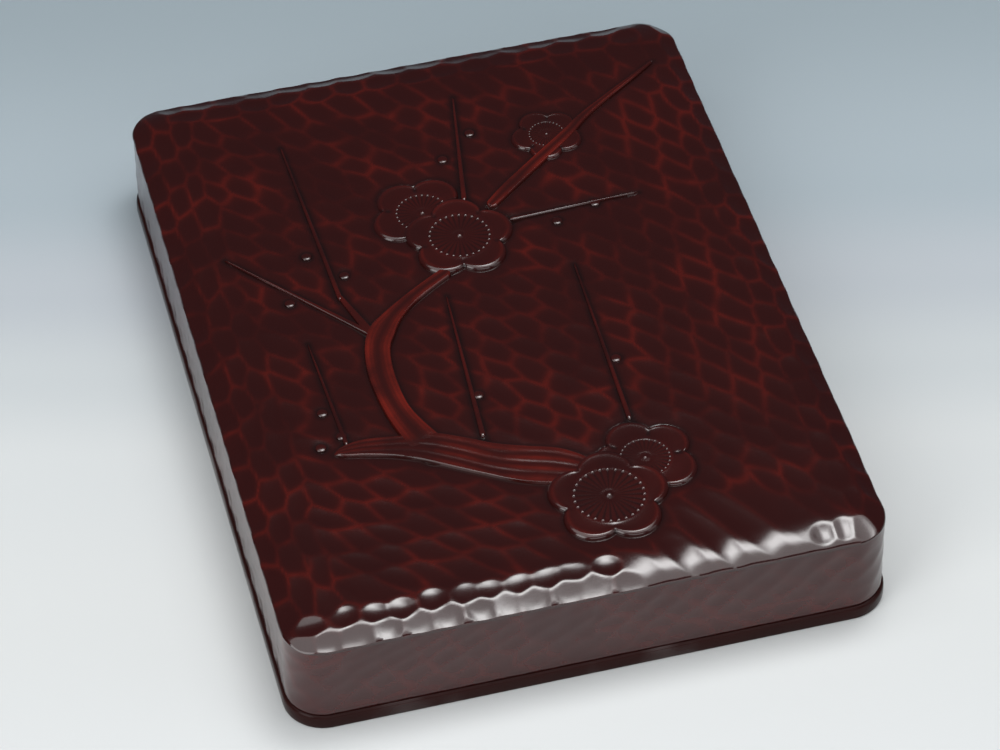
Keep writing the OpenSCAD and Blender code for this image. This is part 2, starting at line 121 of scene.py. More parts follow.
def floorMaterial():
    material = bpy.data.materials.new("studioFloor")
    material.use_nodes = True
    nodes, links = material.node_tree.nodes, material.node_tree.links
    shader = nodes["Principled BSDF"]
    shader.inputs["Roughness"].default_value = studio["floorRoughness"]
    shader.inputs["Specular IOR Level"].default_value = studio["floorShine"]
    # Painted light falloff across the floor, lighter at the front and darker at the back
    coords = nodes.new("ShaderNodeTexCoord")
    way = nodes.new("ShaderNodeVectorMath")
    way.operation = "DOT_PRODUCT"
    way.inputs[1].default_value = (*studio["paintedFalloffWay"], 0)
    links.new(coords.outputs["Object"], way.inputs[0])
    ramp = nodes.new("ShaderNodeValToRGB")
    ramp.color_ramp.interpolation = "EASE"
    stops = ramp.color_ramp.elements
    while len(stops) < len(studio["floorPaintedFalloff"]):
        stops.new(0.5)
    for stop, (place, tone) in zip(stops, studio["floorPaintedFalloff"]):
        stop.position = place
        stop.color = (*tone, 1)
    links.new(spreadRange(nodes, links, way.outputs["Value"], studio["paintedFalloffFrom"], studio["paintedFalloffTo"], 0, 1),
              ramp.inputs["Fac"])
    links.new(ramp.outputs["Color"], shader.inputs["Base Color"])
    return material


def buildStudio():
    bm = bmesh.new()
    bmesh.ops.create_grid(bm, x_segments=1, y_segments=1, size=studio["floorHalf"])
    mesh = bpy.data.meshes.new("floor")
    bm.to_mesh(mesh)
    bm.free()
    mesh.materials.append(floorMaterial())
    floor = bpy.data.objects.new("floor", mesh)
    bpy.context.scene.collection.objects.link(floor)
    world = bpy.data.worlds.new("studioWorld")
    world.use_nodes = True
    world.node_tree.nodes["Background"].inputs["Color"].default_value = (*studio["world"], 1)
    bpy.context.scene.world = world
    for name, spec in studio["lamps"].items():
        data = bpy.data.lights.new(name, "AREA")
        data.shape = "RECTANGLE"
        data.size, data.size_y = spec["size"]
        data.energy = spec["power"]
        lamp = bpy.data.objects.new(name, data)
        lamp.location = spec["place"]
        away = Vector(spec["aim"]) - Vector(spec["place"])
        lamp.rotation_euler = away.to_track_quat("-Z", "Y").to_euler()
        bpy.context.scene.collection.objects.link(lamp)


placeCamera()
buildStudio()
bpy.context.scene.view_settings.view_transform = "Standard"
print("camera and studio ready")


# Finishes

lacquer = {
    "hollow": (0.0205, 0.0030, 0.0025),
    # The next colour is painted shade, for the ground beside the relief and the creases
    "paintedShade": (0.0080, 0.0022, 0.0020),
    "ridge": (0.067, 0.0056, 0.0035),
    "limbHollow": (0.022, 0.0032, 0.0026),
    "limbRidge": (0.135, 0.0100, 0.0050),
    "wallHollow": (0.038, 0.0066, 0.0062),
    "wallRidge": (0.078, 0.0088, 0.0070),
    "rimDark": (0.016, 0.0055, 0.0050),
    "rimWorn": (0.034, 0.0080, 0.0068),
    "roughness": 0.18,
    "rimRoughness": 0.22,
    "coat": 0.3,
    "wallCoat": 0.1,
    "coatRoughness": 0.09,
    # Lowest value of the wear-and-shade attribute: full painted shade
    "fullPaintedShade": -0.6,
    "patchScale": 45,
    "rimPatchScale": 34,
    "grain": {"scale": 180, "strength": 0.10, "distance": 0.0004},
    "rimGrain": {"scale": 160, "strength": 0.1, "distance": 0.0003},
}

slate = {
    "dark": (0.020, 0.022, 0.025),
    "light": (0.050, 0.053, 0.058),
    "inked": (0.006, 0.006, 0.007),
    "inkedFrom": 0.0215,
    "inkedTo": 0.0185,
    "inkedShare": 0.75,
    "roughness": 0.55,
}

# Finishes in two tones that noise blends in streaks
streaked = {
    "blackLacquer": {"tones": ((0.0045, 0.004, 0.004), (0.011, 0.008, 0.007)), "scale": 22,
                     "stretch": (1, 0.3, 1), "roughness": 0.34, "coat": 0.15},
    "bambooHandle": {"tones": ((0.50, 0.33, 0.14), (0.66, 0.48, 0.24)), "scale": 90,
                     "stretch": (12, 0.35, 12), "roughness": 0.36, "coat": 0.2},
    "bambooCap": {"tones": ((0.36, 0.22, 0.085), (0.50, 0.33, 0.15)), "scale": 90,
                  "stretch": (12, 0.35, 12), "roughness": 0.38, "coat": 0.15},
    "bambooPeg": {"tones": ((0.42, 0.27, 0.11), (0.56, 0.39, 0.19)), "scale": 120,
                  "stretch": (1, 1, 0.2), "roughness": 0.5},
    "agedCopper": {"tones": ((0.17, 0.075, 0.040), (0.36, 0.19, 0.11)), "scale": 38,
                   "stretch": (1, 1, 1), "roughness": 0.36, "metallic": 0.9, "bump": 0.12, "detail": 6},
    "brushHair": {"tones": ((0.62, 0.52, 0.36), (0.86, 0.80, 0.66)), "scale": 130,
                  "stretch": (14, 0.25, 14), "roughness": 0.65, "bump": 0.5},
    "darkHorn": {"tones": ((0.010, 0.007, 0.005), (0.050, 0.028, 0.016)), "scale": 70,
                 "stretch": (3, 0.6, 3), "roughness": 0.22, "coat": 0.3},
    "pressedInk": {"tones": ((0.006, 0.006, 0.0065), (0.014, 0.014, 0.016)), "scale": 160,
                   "stretch": (1, 1, 1), "roughness": 0.48},
}


def newMaterial(name, roughness, coat=0.0, coatRoughness=0.05, metallic=0.0):
    material = bpy.data.materials.new(name)
    material.use_nodes = True
    shader = material.node_tree.nodes["Principled BSDF"]
    shader.inputs["Roughness"].default_value = roughness
    shader.inputs["Coat Weight"].default_value = coat
    shader.inputs["Coat Roughness"].default_value = coatRoughness
    shader.inputs["Metallic"].default_value = metallic
    return material, material.node_tree.nodes, material.node_tree.links, shader


def noiseOn(nodes, links, scale, detail, stretch=(1, 1, 1)):
    coords = nodes.new("ShaderNodeTexCoord")
    mapping = nodes.new("ShaderNodeMapping")
    mapping.inputs["Scale"].default_value = stretch
    noise = nodes.new("ShaderNodeTexNoise")
    noise.inputs["Scale"].default_value = scale
    noise.inputs["Detail"].default_value = detail
    links.new(coords.outputs["Object"], mapping.inputs["Vector"])
    links.new(mapping.outputs["Vector"], noise.inputs["Vector"])
    return noise.outputs["Fac"]


def multiply(nodes, links, first, second):
    product = nodes.new("ShaderNodeMath")
    product.operation = "MULTIPLY"
    product.use_clamp = True
    links.new(first, product.inputs[0])
    links.new(second, product.inputs[1])
    return product.outputs[0]


def addBump(nodes, links, shader, height, strength, distance):
    bump = nodes.new("ShaderNodeBump")
    bump.inputs["Strength"].default_value = strength
    bump.inputs["Distance"].default_value = distance
    links.new(height, bump.inputs["Height"])
    links.new(bump.outputs["Normal"], shader.inputs["Normal"])


def addGrain(nodes, links, shader, scale, strength, distance):
    addBump(nodes, links, shader, noiseOn(nodes, links, scale, 2), strength, distance)


def wearOf(nodes):
    wearAndShade = nodes.new("ShaderNodeAttribute")
    wearAndShade.attribute_name = "wearAndShade"
    return wearAndShade.outputs["Fac"]


# Painted shade where the wear-and-shade attribute is below 0: darker beside the relief and in creases; red
# wear on the ridges where it is above
def carvedLacquer(name, hollow, ridge, coat=lacquer["coat"]):
    material, nodes, links, shader = newMaterial(name, lacquer["roughness"], coat, lacquer["coatRoughness"])
    wearAndShade = wearOf(nodes)
    patches = spreadRange(nodes, links, noiseOn(nodes, links, lacquer["patchScale"], 5), 0.38, 0.62, 0.1, 1.0)
    worn = multiply(nodes, links, wearAndShade, patches)
    tone = blendColours(nodes, links, worn, hollow, ridge, shader.inputs["Base Color"])
    # Painted shade: below 0 the hollow colour is mixed toward the darker painted-shade colour
    shade = spreadRange(nodes, links, wearAndShade, lacquer["fullPaintedShade"], 0, 0, 1)
    blendColours(nodes, links, shade, lacquer["paintedShade"], hollow, tone.inputs["A"])
    addGrain(nodes, links, shader, **lacquer["grain"])
    return material


# Dull on the whole, polished in short stretches where the wear-and-shade attribute is 1
def rimLacquer():
    material, nodes, links, shader = newMaterial("rimLacquer", lacquer["rimRoughness"])
    patches = noiseOn(nodes, links, lacquer["rimPatchScale"], 2)
    blendColours(nodes, links, patches, lacquer["rimDark"], lacquer["rimWorn"], shader.inputs["Base Color"])
    polish = multiply(nodes, links, wearOf(nodes), spreadRange(nodes, links, patches, 0.5, 0.62, 0, 1))
    links.new(spreadRange(nodes, links, polish, 0, 1, 0.10, 0.5), shader.inputs["Specular IOR Level"])
    addGrain(nodes, links, shader, **lacquer["rimGrain"])
    return material


# Stained by ink towards the bottom of the well
def slateFinish():
    material, nodes, links, shader = newMaterial("inkstoneSlate", slate["roughness"])
    grain = noiseOn(nodes, links, 260, 6, (1, 0.45, 1))
    split = nodes.new("ShaderNodeSeparateXYZ")
    links.new(nodes.new("ShaderNodeTexCoord").outputs["Object"], split.inputs[0])
    depth = spreadRange(nodes, links, split.outputs["Z"], slate["inkedTo"], slate["inkedFrom"],
                        slate["inkedShare"], 0)
    stain = blendColours(nodes, links, depth, slate["light"], slate["inked"], shader.inputs["Base Color"])
    streaks = spreadRange(nodes, links, grain, 0.3, 0.7, 0, 1)
    blendColours(nodes, links, streaks, slate["dark"], slate["light"], stain.inputs["A"])
    addBump(nodes, links, shader, grain, 0.25, 0.0003)
    return material


def streakedFinish(name, tones, scale, stretch, roughness, coat=0.0, metallic=0.0, bump=0.08, detail=4):
    material, nodes, links, shader = newMaterial(name, roughness, coat, 0.08, metallic)
    streaks = noiseOn(nodes, links, scale, detail, stretch)
    blendColours(nodes, links, spreadRange(nodes, links, streaks, 0.3, 0.7, 0, 1), *tones,
                 shader.inputs["Base Color"])
    addBump(nodes, links, shader, streaks, bump, 0.0003)
    return material


carvedFinish = carvedLacquer("carvedRedLacquer", lacquer["hollow"], lacquer["ridge"])
limbFinish = carvedLacquer("limbRedLacquer", lacquer["limbHollow"], lacquer["limbRidge"])
wallFinish = carvedLacquer("wallRedLacquer", lacquer["wallHollow"], lacquer["wallRidge"], lacquer["wallCoat"])
rimFinish = rimLacquer()
stoneFinish = slateFinish()
finishes = {name: streakedFinish(name, **spec) for name, spec in streaked.items()}
print("finishes ready")


# Ways of making a piece, with gaps in metres and angles in degrees

shaping = {
    "weldGap": 0.000002,
    "solidWeldGap": 0.00001,
    "flatAngle": 0.5,
    "hardAngle": 35,
    "sharpAngle": 40,
    "turnSteps": 40,
}


def finishPiece(bm, name, body, material, replaces=(), sharpAngle=shaping["sharpAngle"]):
    for face in bm.faces:
        face.smooth = True
    for edge in bm.edges:
        if edge.is_manifold and edge.calc_face_angle(0) > math.radians(sharpAngle):
            edge.smooth = False
    mesh = bpy.data.meshes.new(name)
    bm.to_mesh(mesh)
    bm.free()
    mesh.materials.append(material)
    piece = bpy.data.objects.new(name, mesh)
    bpy.context.scene.collection.objects.link(piece)
    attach(piece, body)
    if replaces:
        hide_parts(*replaces)
    return piece


# A grid laid over the shape that lay(s, t) gives, s and t from 0 to 1
def layGrid(across, along, lay):
    bm = bmesh.new()
    bmesh.ops.create_grid(bm, x_segments=across, y_segments=along, size=1.0)
    spots = (np.array([v.co[:2] for v in bm.verts]) + 1) / 2
    x, y, z, wearAndShade = lay(spots[:, 0], spots[:, 1])
    layer = bm.verts.layers.float.new("wearAndShade")
    for i, vert in enumerate(bm.verts):
        vert.co = (x[i] * mm, y[i] * mm, z[i] * mm)
        vert[layer] = wearAndShade[i]
    return bm


def closeUp(bm):
    bmesh.ops.remove_doubles(bm, verts=bm.verts, dist=shaping["weldGap"])
    bmesh.ops.recalc_face_normals(bm, faces=bm.faces)


# A round piece turned about a line along Y, from its profile of [radius, y]
def turnedPiece(name, x, z, profile, body, material, replaces):
    bm = bmesh.new()
    chain = [bm.verts.new(((x + r) * mm, y * mm, z * mm)) for r, y in profile]
    edges = [bm.edges.new(pair) for pair in zip(chain, chain[1:])]
    bmesh.ops.spin(bm, geom=chain + edges, cent=(x * mm, 0, z * mm), axis=(0, 1, 0), angle=2 * math.pi,
                   steps=shaping["turnSteps"], use_merge=True)
    closeUp(bm)
    finishPiece(bm, name, body, material, replaces)


# Normals weighted by area keep flat faces flat beside their softened edges
def weighNormals(mesh):
    limit = math.cos(math.radians(shaping["sharpAngle"]))
    around = [[] for _ in mesh.vertices]
    for face in mesh.polygons:
        for corner in face.vertices:
            around[corner].append(face)
    normals = []
    for face in mesh.polygons:
        for corner in face.vertices:
            near = [f.normal * f.area for f in around[corner] if f.normal.dot(face.normal) > limit]
            normals.append(sum(near, Vector()).normalized())
    mesh.normals_split_custom_set(normals)


# The solid's own mesh with its edges softened
def softened(nodeName, body, material, width, segments=2):
    bm = bmesh.new()
    bm.from_mesh(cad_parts[nodeName].data)
    bmesh.ops.remove_doubles(bm, verts=bm.verts, dist=shaping["solidWeldGap"])
    flatAngle, hardAngle = math.radians(shaping["flatAngle"]), math.radians(shaping["hardAngle"])
    bmesh.ops.dissolve_limit(bm, angle_limit=flatAngle, verts=bm.verts, edges=bm.edges)
    hard = [e for e in bm.edges if e.is_manifold and e.calc_face_angle(0) > hardAngle]
    bmesh.ops.bevel(bm, geom=hard, offset=width * mm, offset_type="OFFSET", affect="EDGES",
                    segments=segments, profile=0.5, clamp_overlap=True, material=-1)
    bmesh.ops.recalc_face_normals(bm, faces=bm.faces)
    piece = finishPiece(bm, nodeName + "Soft", body, material, (nodeName,))
    weighNormals(piece.data)


def smoothStep(t):
    t = np.clip(t, 0, 1)
    return t * t * (3 - 2 * t)


# 1 at no offset, falling away on both sides
def bell(offset, width):
    return np.exp(-(offset / width) ** 2)


# The carved lid

lid = {
    "halfWidth": 100.0,
    "halfLength": 133.0,
    "cornerRadius": 13.0,
    "foot": 5.2,
    "lip": 34.3,
    "arris": 35.5,
    "field": 38.5,
    "ceiling": 30.0,
    "ceilingShare": (0.94, 0.955),
    "gridStep": 0.77,
    "sharpAngle": 32,
    "edgeIn": 0.45,
    "chamfer": 0.28,
    "chamferDrop": 0.4,
    "edgeWave": 0.07,
}

marks = {
    "length": 13.4,
    "width": 7.8,
    "depth": 0.24,
    "shoulderDepth": 0.70,
    "rows": 26,
    "columns": 14,
    "turn": -50.0,
    "leftTurn": -88,
    "rightSwing": -14,
    "frontSwing": 16,
    "tilt": 9,
    "edgeTilt": 14,
    "jitter": 0.20,
    "seed": 7,
    "softness": 42.0,
    "shoulderSoftness": 9.0,
    "ridgeWidth": 0.48,
}

# The field beside the relief and between the marks: depths, shares of painted shade and red wear, and their
# reach
ground = {
    "limbSink": 0.36,
    "limbSinkReach": 3.6,
    "shootSink": 0.28,
    "shootSinkReach": 1.8,
    "underRelief": 0.95,
    "limbPaintedShade": 0.4,
    "limbPaintedShadeReach": 1.1,
    "shootPaintedShade": 0.6,
    "shootPaintedShadeReach": 1.2,
    "ridgeRed": 0.8,
    "slopeRed": 0.2,
    "slopeWidth": 1.4,
    "evenRed": 0.06,
}

# Blossoms: middle, radius over the petals, turn of the first petal, radius of the stamen ring, relief
blossoms = {
    "upperFront": {"at": (-1.5, 37), "radius": 19.5, "turn": 82, "ring": 11.0, "relief": 0.95},
    "upperBehind": {"at": (-11, 52), "radius": 18.5, "turn": 125, "ring": 9.5, "relief": 0.42},
    "lowerFront": {"at": (15, -94.5), "radius": 20.5, "turn": 82, "ring": 12.2, "relief": 0.95},
    "lowerBehind": {"at": (31, -81), "radius": 18, "turn": 105, "ring": 8.6, "relief": 0.42},
    "side": {"at": (41, 80), "radius": 13, "turn": 110, "ring": 6.5, "relief": 0.45},
}

# Limbs: relief, gouged channels, rows over which they rise, how far the red shows, line as [x, y, half width]
limbs = {
    "lowerLimb": {"relief": 0.62, "channels": 3, "rise": 5, "wearAndShade": 0.62, "line": [
        (-66.5, -52.6, 0.5), (-62.5, -52.2, 2.6), (-56, -52.3, 3.9), (-46, -54.5, 4.8), (-36, -57.5, 6.6),
        (-27, -62.5, 7.2), (-18, -68, 7.4), (-8, -73, 8.2), (2, -76.8, 8.2), (10, -81, 6),
        (16, -86, 3)]},
    "risingTrunk": {"relief": 0.80, "channels": 1, "rise": 12, "wearAndShade": 0.95, "line": [
        (-34, -60, 6.5), (-38, -51, 5.4), (-41.8, -38, 4.5), (-43, -22, 4.6), (-41.5, -9, 4.6),
        (-38, -1, 4.8), (-33, 5, 3.6), (-26, 11, 2.8), (-18, 16.5, 2.5), (-9, 22, 2.4)]},
    "farBranch": {"relief": 0.75, "channels": 1, "rise": 0, "wearAndShade": 0.85, "line": [
        (12, 49, 2.0), (20, 56, 2.5), (28, 62.5, 2.5), (38, 70.5, 2.4), (48, 78.5, 2.2), (55, 85, 1.8),
        (66, 93, 1.3), (78, 101, 1.0), (88, 108, 0.6)]},
}

# Shoots: root, tip, half width at the root and at the tip
shoots = {
    "forkShoot": ((-41.5, -2), (-48.5, 21), 1.9, 0.9),
    "tallShoot": ((-48, 17), (-51, 98), 1.0, 0.4),
    "leaningShoot": ((-41, -2), (-82, 47), 1.3, 0.3),
    "leftShoot": ((-61.5, -50), (-63.5, 0), 0.9, 0.3),
    "middleShoot": ((-17.5, -58), (-13, 10), 1.1, 0.35),
    "rightShoot": ((31, -63), (33, 14), 1.0, 0.35),
    "upperShoot": ((4.5, 54), (14, 108), 1.1, 0.4),
    "levelShoot": ((17, 41), (64, 42.5), 0.9, 0.3),
}

buds = {
    "radius": 1.8,
    "sunk": 0.1,
    "squash": 0.26,
    "lean": 2,
    "steps": (24, 14),
    "spots": [(-54.5, 41.5), (-44, 29), (-65, 20.5), (-66, -33), (-14.2, -38.5), (34.3, -34), (33, 36),
              (2.5, 77), (15, 88), (48, 41.5), (-62.3, -45), (-70, -48.5)],
}


# Position on the lid's outline and the way out from it, s running once round from the middle of the front
def outlineSpot(s):
    r = lid["cornerRadius"]
    runX, runY = lid["halfWidth"] - r, lid["halfLength"] - r
    arc = math.pi / 2 * r
    total = 4 * (runX + runY + arc)
    d = (s % 1.0) * total
    steps = [runX, arc, 2 * runY, arc, 2 * runX, arc, 2 * runY, arc, runX]
    x, y = np.zeros_like(d), np.zeros_like(d)
    nx, ny = np.zeros_like(d), np.zeros_like(d)
    heading, cx, cy, begin = -math.pi / 2, 0.0, -runY, 0.0
    for k, step in enumerate(steps):  # straight runs and corner arcs in turn
        here = (d >= begin - 1e-9) & (d <= begin + step + 1e-9)
        along = d[here] - begin
        if k % 2 == 0:
            wx, wy = math.cos(heading), math.sin(heading)
            x[here] = cx + wx * r - wy * along
            y[here] = cy + wy * r + wx * along
            nx[here], ny[here] = wx, wy
            cx, cy = cx - wy * step, cy + wx * step
        else:
            turn = heading + along / r
            x[here] = cx + r * np.cos(turn)
            y[here] = cy + r * np.sin(turn)
            nx[here], ny[here] = np.cos(turn), np.sin(turn)
            heading += math.pi / 2
        begin += step
    return x, y, nx, ny, total


# How far the hand-cut edge stands in from the outline
def edgeInset(x, y):
    wave = np.sin(0.62 * x + 0.8 * np.sin(0.17 * y)) + np.sin(0.55 * y + 0.9 * np.sin(0.14 * x))
    return lid["edgeIn"] + lid["edgeWave"] * wave


def outFromField(x, y):
    r = lid["cornerRadius"]
    qx = np.clip(np.abs(x) - (lid["halfWidth"] - r), 0, None) * np.sign(x)
    qy = np.clip(np.abs(y) - (lid["halfLength"] - r), 0, None) * np.sign(y)
    return qx, qy, np.hypot(qx, qy)


def lidHeight(x, y):
    r, rise = lid["cornerRadius"], lid["field"] - lid["arris"]
    arc = (r * r + rise * rise) / (2 * rise)
    out = np.clip(outFromField(x, y)[2], 0, r)
    return lid["field"] - arc + np.sqrt(arc * arc - out * out)


def lidPlan(s, t):
    r = lid["cornerRadius"]
    x, y = (2 * s - 1) * lid["halfWidth"], (2 * t - 1) * lid["halfLength"]
    a = np.clip((np.abs(x) - (lid["halfWidth"] - r)) / r, 0, 1)
    b = np.clip((np.abs(y) - (lid["halfLength"] - r)) / r, 0, 1)
    x = np.where(a > 0, np.sign(x) * (lid["halfWidth"] - r + r * a * np.sqrt(1 - b * b / 2)), x)
    y = np.where(b > 0, np.sign(y) * (lid["halfLength"] - r + r * b * np.sqrt(1 - a * a / 2)), y)
    return x, y


# Which way the field's marks run, swinging towards the left side, the right side and the front
def fieldTurn(x, y):
    turn = marks["turn"]
    turn += (marks["leftTurn"] - turn) * float(smoothStep((-76 - x) / 8))
    turn += marks["rightSwing"] * float(smoothStep((x - 35) / 30))
    turn += marks["frontSwing"] * float(smoothStep((-y - 60) / 30)) * float(smoothStep((20 - x) / 30))
    return turn


# The rows along the edges and the fan of furrows take the rest of the lid
def inField(x, y):
    inFan = y < -97 - 0.55 * (x - 52) and y < -97 and x > 8 and not (x < 24 and y > -112)
    return -79 < x < 86.5 and -118 < y < 119.5 and not inFan


# Rows of short marks along the edges: where, from, to, spacing, turn, half length, half width, depth
edgeRows = [
    ("y", -129.8, -95, 16, 9.6, 0, 5.6, 4.3, 1.0), ("y", -122.4, -90, 14, 9.6, 0, 5.4, 4.0, 0.9),
    ("x", -97.0, -116, 130, 14.5, -90, 7.8, 3.8, 0.6), ("x", -89.8, -109, 130, 14.5, -90, 8.4, 3.8, 0.55),
    ("x", -82.6, -116, 130, 14.5, -90, 8.4, 3.8, 0.5), ("x", 97.0, -122, 130, 12.5, -86, 6.8, 3.8, 0.6),
    ("x", 90.0, -116, 130, 12.5, -86, 6.8, 3.8, 0.55), ("y", 130.0, -84, 86, 11.5, 0, 6.2, 3.8, 0.65),
    ("y", 123.2, -78, 86, 11.5, 0, 6.2, 3.8, 0.6), ("y", -127.8, 77.5, 93, 7.2, 0, 3.9, 4.4, 1.0),
]

# Long furrows that fan out below the lower blossoms: start, end, half width, depth
furrows = [
    ((13, -121), (21, -134), 4.4, 1.3), ((26, -114), (37, -135), 4.4, 2.0),
    ((36, -107), (50, -135), 4.0, 2.0), ((44, -101), (64, -134), 4.6, 1.6),
    ((56, -95), (77, -130), 5.8, 0.8), ((71, -104), (85, -122), 5.0, 0.6),
]


def layMarks():
    rng = random.Random(marks["seed"])
    cuts = []
    for fixed, place, begin, end, step, turn, half, wide, deep in edgeRows:
        spot = begin
        while spot < end:
            x, y = (spot, place) if fixed == "y" else (place, spot)
            cuts.append((x + rng.uniform(-1.3, 1.3), y + rng.uniform(-0.8, 0.8),
                         turn + rng.uniform(-marks["edgeTilt"], marks["edgeTilt"]),
                         half * rng.uniform(0.9, 1.1), wide * rng.uniform(0.9, 1.08),
                         deep * marks["shoulderDepth"] * rng.uniform(0.8, 1.15)))
            spot += step * rng.uniform(0.92, 1.08)
    for (x0, y0), (x1, y1), wide, deep in furrows:
        cuts.append(((x0 + x1) / 2, (y0 + y1) / 2, math.degrees(math.atan2(y1 - y0, x1 - x0)),
                     math.hypot(x1 - x0, y1 - y0) / 2 + 2, wide, deep * marks["depth"] * 0.9))
    turn = math.radians(marks["turn"])
    along = np.array([math.cos(turn), math.sin(turn)])
    across = np.array([-math.sin(turn), math.cos(turn)])
    for i in range(-marks["rows"], marks["rows"] + 1):
        for j in range(-marks["columns"], marks["columns"] + 1):
            spot = along * ((j + 0.5 * (i % 2)) * marks["length"]) + across * (i * marks["width"])
            shift = np.array([rng.uniform(-1, 1), rng.uniform(-1, 1)]) * marks["jitter"] * marks["width"]
            x, y = (float(c) for c in spot + shift)
            size, deep = rng.uniform(0.90, 1.12), rng.uniform(0.7, 1.25)
            tilt = rng.uniform(-marks["tilt"], marks["tilt"])
            if inField(x, y):
                cuts.append((x, y, fieldTurn(x, y) + tilt, 0.66 * marks["length"] * size,
                             0.53 * marks["width"] * size, marks["depth"] * deep))
    return np.array(cuts)


# Height of the knife marks, and how near each point is to the ridge between two of them. Each cut is
# (x, y, turn, half length, half width, depth), and the points are taken in chunks to spare memory
def cutSurface(cuts, x, y, softness, chunk=4000):
    height, nearness = np.empty(len(x)), np.empty(len(x))
    turn = np.radians(cuts[:, 2])
    c, s = np.cos(turn), np.sin(turn)
    for k in range(0, len(x), chunk):
        dx = x[k:k + chunk, None] - cuts[None, :, 0]
        dy = y[k:k + chunk, None] - cuts[None, :, 1]
        bowl = cuts[None, :, 5] * (((dx * c + dy * s) / cuts[None, :, 3]) ** 2
                                   + ((dy * c - dx * s) / cuts[None, :, 4]) ** 2 - 1.0)
        order = np.argpartition(bowl, 2, axis=1)[:, :3]
        low = np.take_along_axis(bowl, order, axis=1)
        ranks = np.argsort(low, axis=1)
        low = np.take_along_axis(low, ranks, axis=1)
        deep = cuts[np.take_along_axis(order, ranks, axis=1), 5]
        soft = softness[k:k + chunk]
        blend = np.log(np.exp(soft[:, None] * (low[:, :1] - low)).sum(axis=1)) / soft
        height[k:k + chunk] = low[:, 0] - blend
        nearness[k:k + chunk] = (low[:, 1] - low[:, 0]) / (0.5 * (deep[:, 0] + deep[:, 1]))
    return height, nearness


# A smooth curve through the points
def smoothLine(points, count):
    points = np.array(points, float)
    t = np.linspace(0, len(points) - 1, count)
    k = np.clip(t.astype(int), 0, len(points) - 2)
    f = (t - k)[:, None]
    padded = np.vstack([2 * points[0] - points[1], points, 2 * points[-1] - points[-2]])
    p0, p1, p2, p3 = padded[k], padded[k + 1], padded[k + 2], padded[k + 3]
    line = 0.5 * (2 * p1 + (p2 - p0) * f + (2 * p0 - 5 * p1 + 4 * p2 - p3) * f ** 2
                  + (3 * p1 - p0 - 3 * p2 + p3) * f ** 3)
    line[:, 2] = np.maximum(line[:, 2], 0.05)
    return line


# From a blossom's middle to its petals' edge, and the angle off the nearest petal's middle line
def petalEdge(angle, spec):
    step = math.radians(72)
    off = (angle - math.radians(spec["turn"]) + step / 2) % step - step / 2
    middle, bulge = 0.53 * spec["radius"], 0.47 * spec["radius"]
    return middle * np.cos(off) + np.sqrt(np.maximum(bulge ** 2 - (middle * np.sin(off)) ** 2, 0)), off


# How far each point lies outside the wide relief (limbs and blossoms) and the thin (shoots and buds)
def reliefDistance(x, y):
    wide, thin = np.full(len(x), 50.0), np.full(len(x), 50.0)
    for spec in limbs.values():
        for px, py, half in smoothLine(spec["line"], 90):
            wide = np.minimum(wide, np.hypot(x - px, y - py) - half)
    for spec in blossoms.values():
        dx, dy = x - spec["at"][0], y - spec["at"][1]
        wide = np.minimum(wide, np.hypot(dx, dy) - petalEdge(np.arctan2(dy, dx), spec)[0])
    for (x0, y0), (x1, y1), half0, half1 in shoots.values():
        f = np.clip(((x - x0) * (x1 - x0) + (y - y0) * (y1 - y0)) / ((x1 - x0) ** 2 + (y1 - y0) ** 2), 0, 1)
        gap = np.hypot(x - x0 - f * (x1 - x0), y - y0 - f * (y1 - y0)) - half0 - (half1 - half0) * f
        thin = np.minimum(thin, gap)
    for bx, by in buds["spots"]:
        thin = np.minimum(thin, np.hypot(x - bx, y - by) - buds["radius"])
    return wide, thin


topCuts = layMarks()


# Height of the field against the lid's surface, and its red wear with painted shade beside the relief
def carvedGround(x, y):
    ease = smoothStep((-y - 117) / 5)
    softness = marks["softness"] + (marks["shoulderSoftness"] - marks["softness"]) * ease
    height, nearness = cutSurface(topCuts, x, y, softness)
    wide, thin = reliefDistance(x, y)
    byLimb, byShoot = np.clip(wide, 0, None), np.clip(thin, 0, None)
    calm = (0.15 + 0.85 * smoothStep((wide - 0.5) / 6.0)) * (0.3 + 0.7 * smoothStep((thin - 0.3) / 3.5))
    sink = ground["limbSink"] * bell(byLimb, ground["limbSinkReach"])
    sink += ground["shootSink"] * bell(byShoot, ground["shootSinkReach"])
    sink += ground["underRelief"] * smoothStep((-wide - 0.3) / 1.6)
    ridge = ground["ridgeRed"] * bell(nearness, marks["ridgeWidth"])
    ridge += ground["slopeRed"] * bell(nearness, ground["slopeWidth"])
    ridge *= np.clip(1.2 + height / marks["depth"], 0, 1) * (1 - 0.7 * smoothStep((-y - 121) / 6))
    ridge *= 1 - 0.5 * smoothStep((x - 5) / 10) * smoothStep((-y - 97) / 8)
    # Painted shade: the ground is darkened beside the shoots and the limbs
    paintedShade = ground["shootPaintedShade"] * bell(byShoot, ground["shootPaintedShadeReach"])
    paintedShade += ground["limbPaintedShade"] * bell(byLimb, ground["limbPaintedShadeReach"])
    wearAndShade = np.clip(ridge * calm + ground["evenRed"] - paintedShade, lacquer["fullPaintedShade"], 1)
    return np.minimum(height, 0.05) * calm - sink, wearAndShade


def layTop(s, t):
    x, y = lidPlan(s, t)
    cut, wearAndShade = carvedGround(x, y)
    z = lidHeight(x, y) + cut
    qx, qy, out = outFromField(x, y)
    pull = edgeInset(x, y) * smoothStep((out - 7) / 6) / np.maximum(out, 0.001)
    return x - qx * pull, y - qy * pull, z, wearAndShade


def extrudeEdges(bm, edges):
    made = bmesh.ops.extrude_edge_only(bm, edges=edges)["geom"]
    return ([g for g in made if isinstance(g, bmesh.types.BMVert)],
            [g for g in made if isinstance(g, bmesh.types.BMEdge)])


